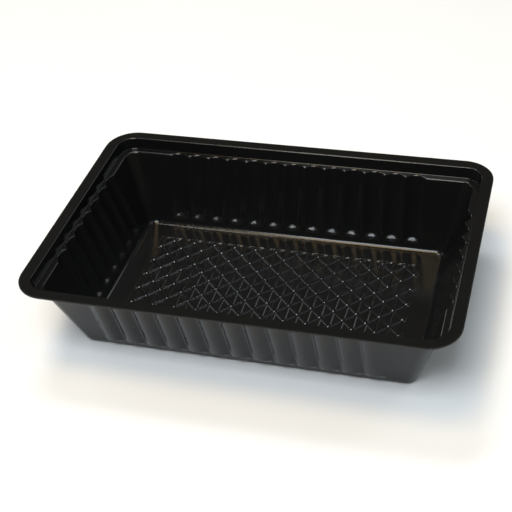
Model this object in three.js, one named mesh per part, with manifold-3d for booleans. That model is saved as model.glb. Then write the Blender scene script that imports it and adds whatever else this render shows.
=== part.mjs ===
/*
 * A food tray for fresh meat or ready meals, thermoformed from one black plastic sheet.
 *
 * Millimetres, +Z up, the origin under the middle of the tray at the level it stands on.
 * The sheet is drawn from the rim down: a flat sealing flange, a short step, a narrow ledge,
 * a leaning wall with upright flutes pressed outwards, and a floor whose middle field is a
 * net of ribs between pressed triangular pockets.
 */
import * as THREE from 'three';
import { mergeGeometries, mergeVertices } from 'three/addons/utils/BufferGeometryUtils.js';
import Module from 'manifold-3d';

// Whole tray
const LENGTH = 229;
const WIDTH = 155;
const HEIGHT = 50;
const SHEET = 0.6;

// Section of the inside, as insets from the outer edge of the rim and depths below it
const FLANGE_EDGE = 6.6;
const STEP_FOOT = 7.4;
const LEDGE_DEPTH = 6.7;
const LEDGE_EDGE = 11;
const WALL_FOOT = 24;
const FLOOR_DEPTH = 48.9;

// Bends of the inside section
const FLANGE_BEND = 1.4;
const STEP_BEND = 0.7;
const LEDGE_BEND = 0.9;
const FLOOR_BEND = 3.2;

// Corner radii in plan, from the outer edge of the rim to the flat of the floor
const CORNER_RADII = [
  [0, 17],
  [FLANGE_EDGE, 9.4],
  [LEDGE_EDGE, 7],
  [WALL_FOOT, 5.5],
  [WALL_FOOT + FLOOR_BEND, 4],
];

// Flutes in the walls
const FLUTE_PITCH = 11.8;
const LONG_FLUTES = 13;
const SHORT_FLUTES = 7;
const FLUTE_HALF_WIDTH = 4.9;
const FLUTE_DEPTH = 2.1;
const FLUTE_SILL_DEPTH = 44.6;
const FLUTE_SILL_BEND = 1.5;

// Ribbed field of the floor: ribs across the tray, and diagonals through their crossings
const RIB_PITCH = 6.35;
const FIELD_LENGTH = 157.5;
const FIELD_WIDTH = 81.3;
const PAD_RADIUS = 2.5;
const RIB_CREST = 0.7;
const RIB_FOOT = 2.3;
const POCKET_DEPTH = 0.5;

// Fineness of the curves
const CORNER_STEPS = 5;
const BEND_STEPS = 3;
const SILL_STEPS = 1;
const FLUTE_SIDES = 20;

// How far a cutting shape runs past what it cuts, and how near two points count as one
const OVERRUN = 1;
const MERGE_DISTANCE = 1e-4;

const floorZ = HEIGHT - FLOOR_DEPTH;
const ledgeZ = HEIGHT - LEDGE_DEPTH;
const draft = Math.atan2(WALL_FOOT - LEDGE_EDGE, ledgeZ - floorZ);

const wasm = await Module();
wasm.setup();

/** Makes a solid of a closed geometry. */
function toSolid(geometry) {
  const bare = geometry.clone();
  bare.deleteAttribute('normal');
  bare.deleteAttribute('uv');
  const merged = mergeVertices(bare, MERGE_DISTANCE);
  const index = merged.getIndex().array;
  const triangles = [];
  for (let i = 0; i < index.length; i += 3) {
    const [a, b, c] = [index[i], index[i + 1], index[i + 2]];
    if (a !== b && b !== c && c !== a) triangles.push(a, b, c);
  }
  return new wasm.Manifold(new wasm.Mesh({
    numProp: 3,
    vertProperties: new Float32Array(merged.getAttribute('position').array),
    triVerts: new Uint32Array(triangles),
  }));
}

/** Gives a solid's faces back as a geometry. */
function toGeometry(solid) {
  const { vertProperties, triVerts } = solid.getMesh();
  const geometry = new THREE.BufferGeometry();
  geometry.setAttribute('position', new THREE.BufferAttribute(vertProperties, 3));
  geometry.setIndex(new THREE.BufferAttribute(triVerts, 1));
  return geometry;
}

/** Skins a stack of rings that all have the same number of points, and closes both ends. */
function loft(rings) {
  const count = rings[0].length;
  const positions = rings.flat().flatMap((point) => [point.x, point.y, point.z]);
  const index = [];
  for (let ring = 0; ring + 1 < rings.length; ring++) {
    for (let i = 0; i < count; i++) {
      const a = ring * count + i;
      const b = ring * count + (i + 1) % count;
      index.push(a, b, b + count, a, b + count, a + count);
    }
  }
  const top = (rings.length - 1) * count;
  const flat = rings[0].map((point) => new THREE.Vector2(point.x, point.y));
  for (const [a, b, c] of THREE.ShapeUtils.triangulateShape(flat, [])) {
    index.push(c, b, a);
    index.push(top + a, top + b, top + c);
  }
  const geometry = new THREE.BufferGeometry();
  geometry.setAttribute('position', new THREE.Float32BufferAttribute(positions, 3));
  geometry.setIndex(index);
  return geometry;
}

/** Corner radius in plan at an inset, read off between the named radii. */
function cornerRadius(inset) {
  const last = CORNER_RADII.length - 1;
  const after = CORNER_RADII.findIndex(([at]) => at > inset);
  const upper = after < 0 ? last : Math.max(after, 1);
  const [startInset, startRadius] = CORNER_RADII[upper - 1];
  const [endInset, endRadius] = CORNER_RADII[upper];
  return THREE.MathUtils.mapLinear(inset, startInset, endInset, startRadius, endRadius);
}

/** Rounded rectangle in plan, at a height. */
function roundedRing(length, width, radius, z) {
  const ring = [];
  [[1, 1], [-1, 1], [-1, -1], [1, -1]].forEach(([sideX, sideY], corner) => {
    const centreX = sideX * (length / 2 - radius);
    const centreY = sideY * (width / 2 - radius);
    for (let step = 0; step <= CORNER_STEPS; step++) {
      const angle = (corner + step / CORNER_STEPS) * Math.PI / 2;
      const x = centreX + radius * Math.cos(angle);
      const y = centreY + radius * Math.sin(angle);
      ring.push(new THREE.Vector3(x, y, z));
    }
  });
  return ring;
}

/** The tray's plan at a station of the section. */
function planRing({ inset, z, cover }) {
  const radius = cornerRadius(inset + cover) + cover;
  return roundedRing(LENGTH - 2 * inset, WIDTH - 2 * inset, radius, z);
}

/** Stations of a section line, with each corner that has a bend turned into an arc. */
function bentSection(corners, cover) {
  const at = corners.map(({ inset, z }) => new THREE.Vector2(inset, z));
  return corners.flatMap(({ bend = 0 }, i) => {
    if (bend <= 0) return [{ inset: at[i].x, z: at[i].y, cover }];
    const back = at[i - 1].clone().sub(at[i]).normalize();
    const ahead = at[i + 1].clone().sub(at[i]).normalize();
    const half = Math.acos(THREE.MathUtils.clamp(back.dot(ahead), -1, 1)) / 2;
    const middle = back.clone().add(ahead).normalize();
    const centre = at[i].clone().addScaledVector(middle, bend / Math.sin(half));
    const start = at[i].clone().addScaledVector(back, bend / Math.tan(half)).sub(centre);
    const end = at[i].clone().addScaledVector(ahead, bend / Math.tan(half)).sub(centre);
    const turn = Math.atan2(start.cross(end), start.dot(end));
    return Array.from({ length: BEND_STEPS + 1 }, (_, step) => {
      const spoke = start.clone().rotateAround(new THREE.Vector2(), turn * step / BEND_STEPS);
      return { inset: centre.x + spoke.x, z: centre.y + spoke.y, cover };
    });
  });
}

/** Inset of the wall's surface at a height, `cover` outside the inner surface. */
function wallInset(z, cover) {
  return LEDGE_EDGE + (ledgeZ - z) * Math.tan(draft) - cover / Math.cos(draft);
}

/** The section from the floor up to the flange's edge, `cover` outside the inner surface. */
function sheetSection(cover) {
  return [
    { inset: WALL_FOOT + FLOOR_BEND, z: floorZ - cover },
    { inset: wallInset(floorZ - cover, cover), z: floorZ - cover, bend: FLOOR_BEND + cover },
    { inset: wallInset(ledgeZ - cover, cover), z: ledgeZ - cover, bend: LEDGE_BEND - cover },
    { inset: STEP_FOOT - cover, z: ledgeZ - cover, bend: STEP_BEND + cover },
    { inset: FLANGE_EDGE - cover, z: HEIGHT - cover, bend: FLANGE_BEND - cover },
  ];
}

/** The solid that the outer surface of the sheet encloses, without flutes. */
function outerBody() {
  const edge = [{ inset: 0, z: HEIGHT - SHEET }, { inset: 0, z: HEIGHT }];
  const section = bentSection([...sheetSection(SHEET), ...edge], SHEET);
  return toSolid(loft(section.map(planRing)));
}

/** The space that the inner surface of the sheet encloses, without flutes. */
function innerSpace() {
  // The flat of the flange only aims the last bend: above it the space goes straight up
  const flat = { inset: 0, z: HEIGHT };
  const section = bentSection([...sheetSection(0), flat], 0).slice(0, -1);
  const mouth = { ...section.at(-1), z: HEIGHT + OVERRUN };
  return toSolid(loft([...section, mouth].map(planRing)));
}

/** One flute: a round channel along the wall, with a sill bent over at its foot. */
function flute(cover) {
  const chordToCrown = FLUTE_HALF_WIDTH ** 2 + FLUTE_DEPTH ** 2;
  const radius = chordToCrown / (2 * FLUTE_DEPTH) + cover;
  // The top end is square to the leaning channel, so its low side has to clear the ledge too
  const rise = FLUTE_SILL_DEPTH - LEDGE_DEPTH + radius * Math.sin(draft) + OVERRUN;
  const length = rise / Math.cos(draft);
  const bend = FLUTE_SILL_BEND + cover;
  const profile = [new THREE.Vector2(0, -cover)];
  for (let step = 0; step <= SILL_STEPS; step++) {
    const angle = step / SILL_STEPS * Math.PI / 2;
    const out = radius - bend + bend * Math.sin(angle);
    profile.push(new THREE.Vector2(out, bend - cover - bend * Math.cos(angle)));
  }
  profile.push(new THREE.Vector2(radius, length), new THREE.Vector2(0, length));
  const geometry = new THREE.LatheGeometry(profile, FLUTE_SIDES);

  // Lean the channel along the wall, its crown FLUTE_DEPTH outside the wall's surface
  const along = new THREE.Vector3(1, 0, 0);
  const up = new THREE.Vector3(0, Math.sin(draft), Math.cos(draft));
  const inward = new THREE.Vector3(0, -Math.cos(draft), Math.sin(draft));
  geometry.applyMatrix4(new THREE.Matrix4().makeBasis(along, up, inward));
  const sillZ = HEIGHT - FLUTE_SILL_DEPTH;
  const seat = inward.clone().multiplyScalar(radius - cover - FLUTE_DEPTH);
  geometry.translate(0, seat.y - wallInset(sillZ, 0), sillZ + seat.z);
  return geometry;
}

/** All the flutes, each side's row turned to face its wall, cut off level at `top`. */
function flutes(cover, top) {
  const sides = [
    [LONG_FLUTES, WIDTH / 2, 0],
    [SHORT_FLUTES, LENGTH / 2, Math.PI / 2],
    [LONG_FLUTES, WIDTH / 2, Math.PI],
    [SHORT_FLUTES, LENGTH / 2, -Math.PI / 2],
  ];
  const single = flute(cover);
  const solids = sides.flatMap(([count, reach, turn]) => (
    Array.from({ length: count }, (_, i) => {
      const geometry = single.clone();
      geometry.translate((i - (count - 1) / 2) * FLUTE_PITCH, reach, 0);
      geometry.rotateZ(turn);
      return toSolid(geometry);
    })
  ));
  const below = new THREE.BoxGeometry(LENGTH, WIDTH, HEIGHT).translate(0, 0, top - HEIGHT / 2);
  return solids.reduce((joined, next) => joined.add(next)).intersect(toSolid(below));
}

/** A pocket between three ribs, narrower at its bottom than at the rib crests. */
function pocket(corners) {
  const [a, b, c] = corners;
  const sides = [b.distanceTo(c), c.distanceTo(a), a.distanceTo(b)];
  const around = sides[0] + sides[1] + sides[2];
  const centre = new THREE.Vector2();
  corners.forEach((corner, i) => centre.addScaledVector(corner, sides[i] / around));
  const area = Math.abs((b.x - a.x) * (c.y - a.y) - (c.x - a.x) * (b.y - a.y)) / 2;
  const inradius = 2 * area / around;
  const flare = (RIB_FOOT - RIB_CREST) / 2 / POCKET_DEPTH;
  // Half the height above the crests at which neighbouring pockets would meet
  const over = RIB_CREST / 4 / flare;
  const ring = (z) => {
    const margin = RIB_CREST / 2 + (floorZ - z) * flare;
    return corners.map((corner) => {
      const point = centre.clone().lerp(corner, 1 - margin / inradius);
      return new THREE.Vector3(point.x, point.y, z);
    });
  };
  return loft([ring(floorZ - POCKET_DEPTH), ring(floorZ + over)]);
}

/** Every pocket of the field, cut off short of the field's edge. */
function pockets() {
  const columns = Math.floor(FIELD_LENGTH / 2 / RIB_PITCH);
  const rows = Math.floor(FIELD_WIDTH / 2 / RIB_PITCH);
  const crossing = (column, row) => new THREE.Vector2(column * RIB_PITCH, row * RIB_PITCH);
  const cells = [];
  for (let column = -columns; column < columns; column++) {
    for (let row = -rows; row <= rows; row++) {
      // The point of each pocket is a crossing of diagonals, on its right rib or its left one
      const pointsRight = (column + row) % 2 === 0;
      const [point, base] = pointsRight ? [column + 1, column] : [column, column + 1];
      const turn = pointsRight ? 1 : -1;
      cells.push(pocket([
        crossing(point, row),
        crossing(base, row + turn),
        crossing(base, row - turn),
      ]));
    }
  }
  const field = new THREE.BoxGeometry(
    FIELD_LENGTH - RIB_CREST,
    FIELD_WIDTH - RIB_CREST,
    2 * (POCKET_DEPTH + OVERRUN),
  ).translate(0, 0, floorZ);
  return toSolid(mergeGeometries(cells)).intersect(toSolid(field));
}

/** The pressed field stands below the border of the floor, and the tray rests on it. */
function fieldPad() {
  const length = FIELD_LENGTH + 2 * SHEET;
  const width = FIELD_WIDTH + 2 * SHEET;
  const heights = [0, floorZ - SHEET / 2];
  return toSolid(loft(heights.map((z) => roundedRing(length, width, PAD_RADIUS, z))));
}

/** The whole tray, one sheet with no joints. */
function tray() {
  const outer = outerBody().add(flutes(SHEET, ledgeZ - SHEET / 2)).add(fieldPad());
  const inner = innerSpace().add(flutes(0, ledgeZ + SHEET / 2)).add(pockets());
  const mesh = new THREE.Mesh(
    toGeometry(outer.subtract(inner)),
    new THREE.MeshStandardMaterial({ color: 0x121214, roughness: 0.28, metalness: 0 }),
  );
  mesh.name = 'tray';
  return mesh;
}

const group = new THREE.Group();
group.add(tray());

export default group;
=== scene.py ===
import math

import bmesh
import bpy
from mathutils import Matrix, Vector


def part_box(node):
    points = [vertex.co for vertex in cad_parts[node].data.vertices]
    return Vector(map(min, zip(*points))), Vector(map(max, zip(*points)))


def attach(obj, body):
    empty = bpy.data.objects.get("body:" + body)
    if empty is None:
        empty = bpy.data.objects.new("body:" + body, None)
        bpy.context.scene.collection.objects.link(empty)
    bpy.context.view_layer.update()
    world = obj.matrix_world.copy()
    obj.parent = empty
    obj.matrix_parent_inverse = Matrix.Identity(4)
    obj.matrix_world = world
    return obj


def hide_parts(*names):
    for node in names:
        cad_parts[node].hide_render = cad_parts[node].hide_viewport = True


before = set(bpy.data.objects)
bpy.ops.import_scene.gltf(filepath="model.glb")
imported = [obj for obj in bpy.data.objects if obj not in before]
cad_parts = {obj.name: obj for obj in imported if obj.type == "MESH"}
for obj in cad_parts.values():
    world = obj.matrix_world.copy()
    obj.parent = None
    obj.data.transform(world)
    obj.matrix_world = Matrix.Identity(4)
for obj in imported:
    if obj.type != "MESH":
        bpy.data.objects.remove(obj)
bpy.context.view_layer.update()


# The tray: one sheet of glossy black polypropylene, heated and drawn into a mould in one piece,
# then trimmed round the rim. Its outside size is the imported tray's own. The surface made here is
# its inner one, and the sheet's thickness is added behind it.
MM = 0.001
half_length, half_width, rim_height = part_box("tray")[1]

# Section of the inside: insets from the rim's outer edge, and depths below it
CUT_WIDTH = 1 * MM
FLANGE_EDGE = 6.6 * MM
STEP_FOOT = 7.4 * MM
LEDGE_DEPTH = 6.7 * MM
LEDGE_EDGE = 11 * MM
WALL_FOOT = 24 * MM
FLOOR_DEPTH = 48.9 * MM
BORDER_START = 27.4 * MM
draft = math.atan2(WALL_FOOT - LEDGE_EDGE, FLOOR_DEPTH - LEDGE_DEPTH)
floor_level = rim_height - FLOOR_DEPTH

# Corner radii in plan at those insets
RIM_RADIUS = 17 * MM
FLANGE_RADIUS = 9.4 * MM
STEP_RADIUS = 8.9 * MM
LEDGE_RADIUS = 7 * MM
FOOT_RADIUS = 5.5 * MM
BORDER_RADIUS = 4 * MM

# Flutes: 13 on each long wall and 7 on each short one. Each ends at its foot in a sill
FLUTE_PITCH = 11.8 * MM
LONG_FLUTES = 13
SHORT_FLUTES = 7
FLUTE_HALF_WIDTH = 4.9 * MM
FLUTE_DEPTH = 2.1 * MM
LAND_ROUNDING = 0.75 * MM
SILL_DEPTH = 44.6 * MM
SILL_SLOPE = 0.67
SILL_DISH = 23 * MM
SILL_ROUNDING = 0.35 * MM
long_end = LONG_FLUTES * FLUTE_PITCH / 2
short_end = SHORT_FLUTES * FLUTE_PITCH / 2

# How finely the sheet is divided, and how far apart, in metres, two places still count as one:
# when they are compared or mirrored, and when the sheet is cut or merged there
COLUMNS_PER_FLUTE = 12
CORNER_STEPS = 12
WALL_ROWS = 6
SILL_ROWS = 10
TOUCHING = 1e-6
MERGING = 1e-7
column = FLUTE_PITCH / COLUMNS_PER_FLUTE

sheet = bmesh.new()
cut_edge = sheet.verts.layers.float.new("cut_edge")


def last_vertex(drawn):
    """The vertex that a spin ended on."""
    return next(part for part in drawn["geom_last"] if isinstance(part, bmesh.types.BMVert))


def draw_out(tip, step, steps):
    """Draws a straight line of edges from a vertex, and gives back its last vertex."""
    return last_vertex(bmesh.ops.spin(
        sheet, geom=[tip], cent=(0, 0, 0), axis=(0, 0, 1), dvec=step, angle=0, steps=steps
    ))


# The rim of one quarter, from the middle of the back round the corner to the middle of the side
corner_x = half_length - RIM_RADIUS
corner_y = half_width - RIM_RADIUS
tip = sheet.verts.new((0, half_width, rim_height))
tip = draw_out(tip, (column, 0, 0), LONG_FLUTES * COLUMNS_PER_FLUTE // 2)
tip = draw_out(tip, (corner_x - long_end, 0, 0), 1)
tip = last_vertex(bmesh.ops.spin(
    sheet,
    geom=[tip],
    cent=(corner_x, corner_y, rim_height),
    axis=(0, 0, 1),
    dvec=(0, 0, 0),
    angle=-math.pi / 2,
    steps=CORNER_STEPS,
))
tip = draw_out(tip, (0, short_end - corner_y, 0), 1)
draw_out(tip, (0, -column, 0), SHORT_FLUTES * COLUMNS_PER_FLUTE // 2)
for vert in sheet.verts:
    vert[cut_edge] = 1

ring = {"edges": sheet.edges[:], "inset": 0, "depth": 0, "radius": RIM_RADIUS}


def press(inset, depth, radius):
    """Draws the open edge of the sheet on to the next ring, each corner to its own radius."""
    drawn = bmesh.ops.extrude_edge_only(sheet, edges=ring["edges"])["geom"]
    verts = [part for part in drawn if isinstance(part, bmesh.types.BMVert)]
    edges = [part for part in drawn if isinstance(part, bmesh.types.BMEdge)]
    inward = inset - ring["inset"]
    down = depth - ring["depth"]
    back = [vert for vert in verts if vert.co.x < long_end + column / 2]
    side = [vert for vert in verts if vert.co.y < short_end + column / 2]
    turned = [vert for vert in verts if vert not in back and vert not in side]
    centre = Vector((
        half_length - ring["inset"] - ring["radius"],
        half_width - ring["inset"] - ring["radius"],
        0,
    ))
    shift = -(inward + radius - ring["radius"])
    grow = radius / ring["radius"]
    bmesh.ops.translate(sheet, verts=back, vec=(0, -inward, -down))
    bmesh.ops.translate(sheet, verts=side, vec=(-inward, 0, -down))
    bmesh.ops.scale(
        sheet, verts=turned, vec=(grow, grow, 1), space=Matrix.Translation(-centre)
    )
    bmesh.ops.translate(sheet, verts=turned, vec=(shift, shift, -down))
    for vert in verts:
        vert[cut_edge] = 0
    ring.update(edges=edges, inset=inset, depth=depth, radius=radius)
    return edges


def wall_ring(depth):
    """A ring on the leaning wall, between the ledge and the floor."""
    share = (depth - LEDGE_DEPTH) / (FLOOR_DEPTH - LEDGE_DEPTH)
    return press(
        LEDGE_EDGE + share * (WALL_FOOT - LEDGE_EDGE),
        depth,
        LEDGE_RADIUS + share * (FOOT_RADIUS - LEDGE_RADIUS),
    )


press(CUT_WIDTH, 0, RIM_RADIUS - CUT_WIDTH)
flange_edge = press(FLANGE_EDGE, 0, FLANGE_RADIUS)
step_foot = press(STEP_FOOT, LEDGE_DEPTH, STEP_RADIUS)
ledge_edge = press(LEDGE_EDGE, LEDGE_DEPTH, LEDGE_RADIUS)
SILL_RUN_OUT = 0.7 * MM
sill_top = SILL_DEPTH - FLUTE_DEPTH / SILL_SLOPE
sill_bottom = SILL_DEPTH + SILL_RUN_OUT
for row in range(1, WALL_ROWS + 1):
    wall_ring(LEDGE_DEPTH + row / WALL_ROWS * (sill_top - LEDGE_DEPTH))
for row in range(1, SILL_ROWS + 1):
    wall_ring(sill_top + row / SILL_ROWS * (sill_bottom - sill_top))
wall_foot = press(WALL_FOOT, FLOOR_DEPTH, FOOT_RADIUS)
press(BORDER_START, FLOOR_DEPTH, BORDER_RADIUS)


def bend(edges, radius, turn, segments):
    """Rounds one ring of the sheet to a bend radius, for the angle that it turns through."""
    bmesh.ops.bevel(
        sheet,
        geom=edges,
        offset=radius * math.tan(turn / 2),
        offset_type="OFFSET",
        affect="EDGES",
        segments=segments,
        profile=0.5,
        material=-1,
        loop_slide=True,
    )


FLANGE_BEND = 0.8 * MM
STEP_BEND = 0.5 * MM
LEDGE_BEND = 1.2 * MM
FOOT_BEND = 3.2 * MM
step_turn = math.atan2(LEDGE_DEPTH, STEP_FOOT - FLANGE_EDGE)
wall_turn = math.pi / 2 - draft
bend(flange_edge, FLANGE_BEND, step_turn, 4)
bend(step_foot, STEP_BEND, step_turn, 3)
bend(ledge_edge, LEDGE_BEND, wall_turn, 4)
bend(wall_foot, FOOT_BEND, wall_turn, 8)

# The flutes, pushed out of the wall as arcs, each cut off at its foot by a sill: a ramp that is
# slightly dished, and shows as an almond between the round flute and the wall below
flute_radius = (FLUTE_HALF_WIDTH**2 + FLUTE_DEPTH**2) / (2 * FLUTE_DEPTH)
ledge_bend_start = LEDGE_EDGE - LEDGE_BEND * math.tan(wall_turn / 2)


def flute_push(along, depth):
    """How far the wall stands out at a place along a row of flutes, at a depth below the rim."""
    across = (along / FLUTE_PITCH - round(along / FLUTE_PITCH)) * FLUTE_PITCH
    arc = math.sqrt(max(flute_radius**2 - across**2, 0)) - (flute_radius - FLUTE_DEPTH)
    above_sill = (SILL_DEPTH - depth) / math.cos(draft)
    up_ramp = min(above_sill, FLUTE_DEPTH / SILL_SLOPE)
    ramp = SILL_SLOPE * above_sill - (across**2 + up_ramp**2) / (2 * SILL_DISH)
    height = (arc + ramp - math.hypot(arc - ramp, SILL_ROUNDING)) / 2
    return (height + math.hypot(height, LAND_ROUNDING)) / 2


for vert in sheet.verts:
    depth = rim_height - vert.co.z
    inset_y = half_width - vert.co.y
    inset_x = half_length - vert.co.x
    on_back = vert.co.x < long_end + column / 2 and inset_y < inset_x
    on_side = vert.co.y < short_end + column / 2 and inset_x < inset_y
    inset = inset_y if on_back else inset_x
    along = vert.co.x if on_back else vert.co.y
    row_end = long_end if on_back else short_end
    below_step = depth > LEDGE_DEPTH - TOUCHING and inset > ledge_bend_start - TOUCHING
    in_row = (on_back or on_side) and along <= row_end - TOUCHING
    if not in_row or not below_step or depth > sill_bottom:
        continue
    # A flute goes out level at the ledge, which stays flat, and square to the wall at its foot
    push = flute_push(along, depth)
    slide = push * math.tan(draft) * min(1, (depth - LEDGE_DEPTH) / (SILL_DEPTH - LEDGE_DEPTH))
    out = push / math.cos(draft) - slide * math.sin(draft)
    direction = Vector((0, out, 0)) if on_back else Vector((out, 0, 0))
    vert.co += direction - Vector((0, 0, slide * math.cos(draft)))

# The other three quarters
for side in ("X", "Y"):
    bmesh.ops.mirror(
        sheet,
        geom=sheet.verts[:] + sheet.edges[:] + sheet.faces[:],
        matrix=Matrix(),
        merge_dist=TOUCHING,
        axis=side,
    )

# The field in the middle of the floor: cut along every rib, then each cell pressed down into a
# pocket. The section of its side is in pairs: how far in from the rib's middle, as a share of
# the rib's half foot, and how far down, as a share of the pocket's depth
RIB_PITCH = 6.35 * MM
FIELD_HALF_LENGTH = 78.75 * MM
FIELD_HALF_WIDTH = 40.65 * MM
RIB_HALF_FOOT = 1.15 * MM
POCKET_DEPTH = 0.5 * MM
POCKET_SECTION = ((0.24, 0.06), (0.4, 0.3), (0.78, 0.88), (1, 1))
KNOB_RADIUS = 1.1 * MM
KNOB_HEIGHT = 0.24 * MM
CORNER_CLOSES = 0.34 * MM
END_ROOM = 0.42

field = bmesh.new()
bmesh.ops.create_grid(field, x_segments=1, y_segments=1, size=1)
bmesh.ops.scale(field, verts=field.verts, vec=(FIELD_HALF_LENGTH, FIELD_HALF_WIDTH, 1))


def cut_rib(at, across):
    """Cuts the field along one rib, through a point on the field's long axis."""
    bmesh.ops.bisect_plane(
        field,
        geom=field.verts[:] + field.edges[:] + field.faces[:],
        dist=MERGING,
        plane_co=(at, 0, 0),
        plane_no=across,
    )


cross_ribs = int(FIELD_HALF_LENGTH / RIB_PITCH)
diagonals = int((FIELD_HALF_LENGTH + FIELD_HALF_WIDTH) / RIB_PITCH)
for rib in range(-cross_ribs, cross_ribs + 1):
    cut_rib(rib * RIB_PITCH, (1, 0, 0))
for rib in range(-diagonals, diagonals + 1):
    if rib % 2:
        cut_rib(rib * RIB_PITCH, (1, 1, 0))
        cut_rib(rib * RIB_PITCH, (1, -1, 0))

# Each crossing, where three ribs meet, is a small six-sided knob, and so isn't one of the cells
crossings = [vert for vert in field.verts if len(vert.link_edges) == 6]
knobs = bmesh.ops.bevel(
    field,
    geom=crossings,
    offset=KNOB_RADIUS,
    offset_type="OFFSET",
    affect="VERTICES",
    segments=1,
    profile=0.5,
    material=-1,
)["faces"]
crowns = bmesh.ops.poke(field, faces=knobs, offset=KNOB_HEIGHT)["faces"]
for face in crowns:
    face.tag = True

# The cells at the ends of the field have less room, and their pockets are smaller and shallower
cells = {}
for face in [face for face in field.faces if not face.tag]:
    room = round(face.calc_area() / face.calc_perimeter() / RIB_HALF_FOOT, 2)
    cells.setdefault(1 if room > 1 else min(room, END_ROOM), []).append(face)
for room, faces in cells.items():
    before = (0, 0)
    for after in POCKET_SECTION:
        bmesh.ops.inset_individual(
            field,
            faces=faces,
            thickness=room * RIB_HALF_FOOT * (after[0] - before[0]),
            depth=-room * POCKET_DEPTH * (after[1] - before[1]),
            use_even_offset=True,
        )
        # A corner that the knob cut off closes to a point before its edge turns inside out
        if room == 1:
            corners = dict.fromkeys(vert for face in faces for vert in face.verts)
            bmesh.ops.remove_doubles(field, verts=list(corners), dist=CORNER_CLOSES)
        before = after

# The moulded surface is smooth all over, but for the flat faces of the knobs
for part in (sheet, field):
    for face in part.faces:
        face.smooth = True
for face in crowns:
    face.smooth = False
bmesh.ops.translate(field, verts=field.verts, vec=(0, 0, floor_level))
pressed = bpy.data.meshes.new("pressed_field")
field.to_mesh(pressed)
field.free()
sheet.from_mesh(pressed)
bpy.data.meshes.remove(pressed)

# The plain border joins the field to the foot of the walls. It is laid round the tray by bearing:
# each open point makes a triangle with the latest point of the field and the latest of the wall,
# and the second time round closes the gap where it began
open_floor = [
    vert for vert in sheet.verts if vert.is_boundary and abs(vert.co.z - floor_level) < TOUCHING
]
open_floor.sort(key=lambda vert: math.atan2(vert.co.y, vert.co.x))
latest = {}
for vert in open_floor + open_floor:
    in_length = abs(vert.co.x) < FIELD_HALF_LENGTH + TOUCHING
    in_width = abs(vert.co.y) < FIELD_HALF_WIDTH + TOUCHING
    edge = "field" if in_length and in_width else "wall"
    if len(latest) == 2 and latest[edge].is_boundary and vert.is_boundary:
        triangle = [latest["field"], latest["wall"], vert]
        for face in bmesh.ops.contextual_create(sheet, geom=triangle)["faces"]:
            face.smooth = True
    latest[edge] = vert
bmesh.ops.remove_doubles(sheet, verts=sheet.verts, dist=MERGING)
bmesh.ops.recalc_face_normals(sheet, faces=sheet.faces)
lowest = min(sheet.faces, key=lambda face: face.calc_center_median().z)
if lowest.normal.z < 0:
    bmesh.ops.reverse_faces(sheet, faces=sheet.faces)

tray_mesh = bpy.data.meshes.new("tray_sheet")
sheet.to_mesh(tray_mesh)
sheet.free()
tray = bpy.data.objects.new("tray_sheet", tray_mesh)
bpy.context.scene.collection.objects.link(tray)

# The sheet's gauge, which is added outwards. It is thinner where the detail is finer than the
# sheet is thick, so that the underside doesn't fold over itself below the ribs
SHEET = 0.6 * MM
THINNING = 0.7
gauge = tray.modifiers.new("gauge", "SOLIDIFY")
gauge.thickness = SHEET
gauge.offset = -1
gauge.use_even_offset = True
gauge.use_quality_normals = True
gauge.thickness_clamp = THINNING

# The rim's cut edge is rounded, and so are the sharp folds. They include the acute corners of the
# pockets, which fold by just over this angle, in degrees
EDGE_ROUNDING = 0.12 * MM
SHARP_FOLD = 60
trim = tray.modifiers.new("trim", "BEVEL")
trim.limit_method = "ANGLE"
trim.angle_limit = math.radians(SHARP_FOLD)
trim.width = EDGE_ROUNDING
trim.segments = 2
flat_shading = tray.modifiers.new("flat_shading", "WEIGHTED_NORMAL")
flat_shading.mode = "FACE_AREA"
flat_shading.weight = 50
flat_shading.keep_sharp = True


class Finish:
    """A socket in a material's nodes, so that the maths of a finish reads as Python."""

    def __init__(self, tree, socket=None):
        self.tree = tree
        self.socket = socket

    def node(self, kind, settings, sockets, output=0):
        """Adds a node: its settings first, then a value or a link for each socket."""
        made = self.tree.nodes.new(kind)
        for name, value in settings.items():
            setattr(made, name, value)
        for name, value in sockets.items():
            if isinstance(value, Finish):
                self.tree.links.new(value.socket, made.inputs[name])
            else:
                made.inputs[name].default_value = value
        return Finish(self.tree, made.outputs[output])

    def maths(self, operation, first, second):
        return self.node("ShaderNodeMath", {"operation": operation}, {0: first, 1: second})

    def __add__(self, other):
        return self.maths("ADD", self, other)

    def __mul__(self, other):
        return self.maths("MULTIPLY", self, other)

    __radd__ = __add__
    __rmul__ = __mul__


FRESH_BLACK = (0.0048, 0.005, 0.0054, 1)
DUSTY_BLACK = (0.0074, 0.0074, 0.0075, 1)
WORN_GREY = (0.035, 0.034, 0.032, 1)
WAVE_HEIGHT = 0.25 * MM
WAVE_STRENGTH = 0.35
POLYPROPYLENE_IOR = 1.49
SHINE = 0.31


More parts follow.
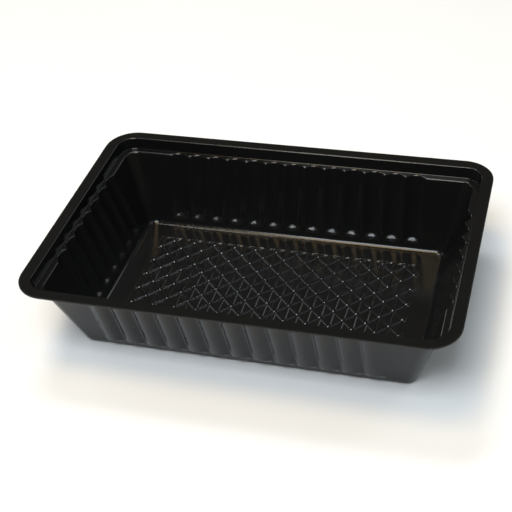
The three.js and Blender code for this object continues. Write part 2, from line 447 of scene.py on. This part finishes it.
def black_polypropylene():
    """Glossy black sheet: slightly wavy, finely scuffed, and paler where the rim was cut."""
    material = bpy.data.materials.new("black_polypropylene")
    material.use_nodes = True
    finish = Finish(material.node_tree)
    shader = material.node_tree.nodes["Principled BSDF"]
    place = finish.node("ShaderNodeTexCoord", {}, {}, "Object")

    def grain(scale, detail, stretch=(1, 1, 1)):
        """Noise of so many waves a metre, drawn out along an axis where stretch is small."""
        laid = finish.node("ShaderNodeMapping", {}, {"Vector": place, "Scale": stretch})
        return finish.node(
            "ShaderNodeTexNoise", {}, {"Vector": laid, "Scale": scale, "Detail": detail}
        )

    def above(value, low, high):
        """0 below low and 1 above high, smoothly."""
        return finish.node(
            "ShaderNodeMapRange",
            {"interpolation_type": "SMOOTHSTEP"},
            {"Value": value, "From Min": low, "From Max": high},
        )

    def blend(share, colour, other):
        """From one colour to another, where the share goes from 0 to 1."""
        return finish.node(
            "ShaderNodeMix",
            {"data_type": "RGBA"},
            {"Factor": share, "A": colour, "B": other},
            "Result",
        )

    clouds = grain(38, 3)
    haze = above(grain(120, 4), 0.45, 0.75)
    scuffs = above(grain(420, 2, (1, 0.06, 1)), 0.66, 0.74) * above(clouds, 0.45, 0.6)
    rubs = above(grain(380, 2, (0.05, 1, 1)), 0.67, 0.75) * above(clouds, 0.5, 0.65)
    worn = finish.node("ShaderNodeAttribute", {"attribute_name": "cut_edge"}, {}, "Fac")
    tone = blend(clouds, FRESH_BLACK, DUSTY_BLACK)
    colour = blend(worn * 0.2 + scuffs * 0.06, tone, WORN_GREY)
    rough = 0.08 + clouds * 0.05 + haze * 0.05 + scuffs * 0.12 + rubs * 0.1 + worn * 0.2
    waves = grain(55, 1) * 1.1 + grain(260, 2) * 0.12 + grain(1050, 2) * 0.5
    relief = finish.node(
        "ShaderNodeBump", {}, {"Strength": WAVE_STRENGTH, "Distance": WAVE_HEIGHT, "Height": waves}
    )
    for name, value in (("Base Color", colour), ("Roughness", rough), ("Normal", relief)):
        material.node_tree.links.new(value.socket, shader.inputs[name])
    shader.inputs["IOR"].default_value = POLYPROPYLENE_IOR
    shader.inputs["Specular IOR Level"].default_value = SHINE
    return material


tray_mesh.materials.append(black_polypropylene())
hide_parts("tray")
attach(tray, "root")


# The floor that the tray stands on: a sheet of matt white card, wide enough to fill the camera's
# whole view, with the faint mottle that such card has. Its half side is in metres.
CARD_HALF = 3
CARD_WHITE = (0.86, 0.86, 0.865, 1)
CARD_PALEST = (0.89, 0.89, 0.89, 1)


def white_card():
    """Matt white, with a faint mottle."""
    material = bpy.data.materials.new("white_card")
    material.use_nodes = True
    finish = Finish(material.node_tree)
    shader = material.node_tree.nodes["Principled BSDF"]
    place = finish.node("ShaderNodeTexCoord", {}, {}, "Object")
    mottle = finish.node("ShaderNodeTexNoise", {}, {"Vector": place, "Scale": 9, "Detail": 3})
    colour = finish.node(
        "ShaderNodeMix",
        {"data_type": "RGBA"},
        {"Factor": mottle, "A": CARD_WHITE, "B": CARD_PALEST},
        "Result",
    )
    rough = 0.7 + mottle * 0.1
    material.node_tree.links.new(colour.socket, shader.inputs["Base Color"])
    material.node_tree.links.new(rough.socket, shader.inputs["Roughness"])
    return material


card = bmesh.new()
bmesh.ops.create_grid(card, x_segments=1, y_segments=1, size=CARD_HALF)
card_mesh = bpy.data.meshes.new("floor")
card.to_mesh(card_mesh)
card.free()
card_mesh.materials.append(white_card())
floor = bpy.data.objects.new("floor", card_mesh)
bpy.context.scene.collection.objects.link(floor)


# The studio: a dim warm room with one cool white key light above the front of the tray, another
# above its back that catches the knobs of the floor, a warm lamp overhead, a large pale ceiling
# panel on the right, and weaker panels behind and on the left that light the flanks of the ribs.
def soft_box(name, towards, distance, width, depth, radiance, colour):
    """A rectangular lamp that faces the tray, in metres. A radiance of 1 would look plain white."""
    lamp = bpy.data.lights.new(name, "AREA")
    lamp.shape = "RECTANGLE"
    lamp.size = width
    lamp.size_y = depth
    lamp.energy = math.pi * width * depth * radiance
    lamp.color = colour
    stand = bpy.data.objects.new(name, lamp)
    stand.location = Vector(towards).normalized() * distance
    stand.rotation_euler = (-stand.location).to_track_quat("-Z", "Y").to_euler()
    bpy.context.scene.collection.objects.link(stand)


soft_box("key", (-0.02, -0.5, 0.86), 1.6, 0.78, 0.62, 12.5, (0.87, 0.94, 1))
soft_box("warm", (-0.16, -0.1, 0.98), 1.6, 0.55, 0.5, 10, (1, 0.74, 0.4))
soft_box("ceiling", (0.55, 0.06, 0.83), 1.7, 1.5, 1.3, 0.75, (0.76, 0.89, 1))
soft_box("back_right", (0.54, 0.68, 0.5), 2, 0.9, 0.6, 2, (0.9, 0.96, 1))
soft_box("left", (-0.8, 0.2, 0.58), 2, 0.8, 0.6, 1.5, (0.9, 0.96, 1))
soft_box("back_left", (-0.62, 0.72, 0.32), 2, 0.4, 0.35, 5, (0.9, 0.96, 1))
soft_box("sparkle", (-0.25, 0.38, 0.88), 1.7, 0.6, 0.22, 19, (0.88, 0.94, 1))

ROOM_GLOW = (0.085, 0.076, 0.052, 1)
room = bpy.data.worlds.new("room")
room.use_nodes = True
room.node_tree.nodes["Background"].inputs["Color"].default_value = ROOM_GLOW
bpy.context.scene.world = room
bpy.context.scene.view_settings.view_transform = "Standard"


# The camera, where the photograph was taken from: fitted to the rim, the flutes and the floor
# pattern, with the photograph's slight roll. Its place is in metres and its angles in degrees.
FOCAL_PX = 1132.5
FRAME_PX = 512
STANDPOINT = (0.15382, -0.45683, 0.41626)
HEADING = 19.26
TILT = 38.71
ROLL = -5.82
view = bpy.data.cameras.new("photo_view")
view.sensor_width = 36
view.lens = FOCAL_PX / FRAME_PX * view.sensor_width
view.clip_start = 0.01
camera = bpy.data.objects.new("photo_view", view)
camera.location = STANDPOINT
camera.rotation_euler = (
    Matrix.Rotation(math.radians(HEADING), 3, "Z")
    @ Matrix.Rotation(math.radians(90 - TILT), 3, "X")
    @ Matrix.Rotation(math.radians(ROLL), 3, "Z")
).to_euler()
bpy.context.scene.collection.objects.link(camera)
bpy.context.scene.camera = camera
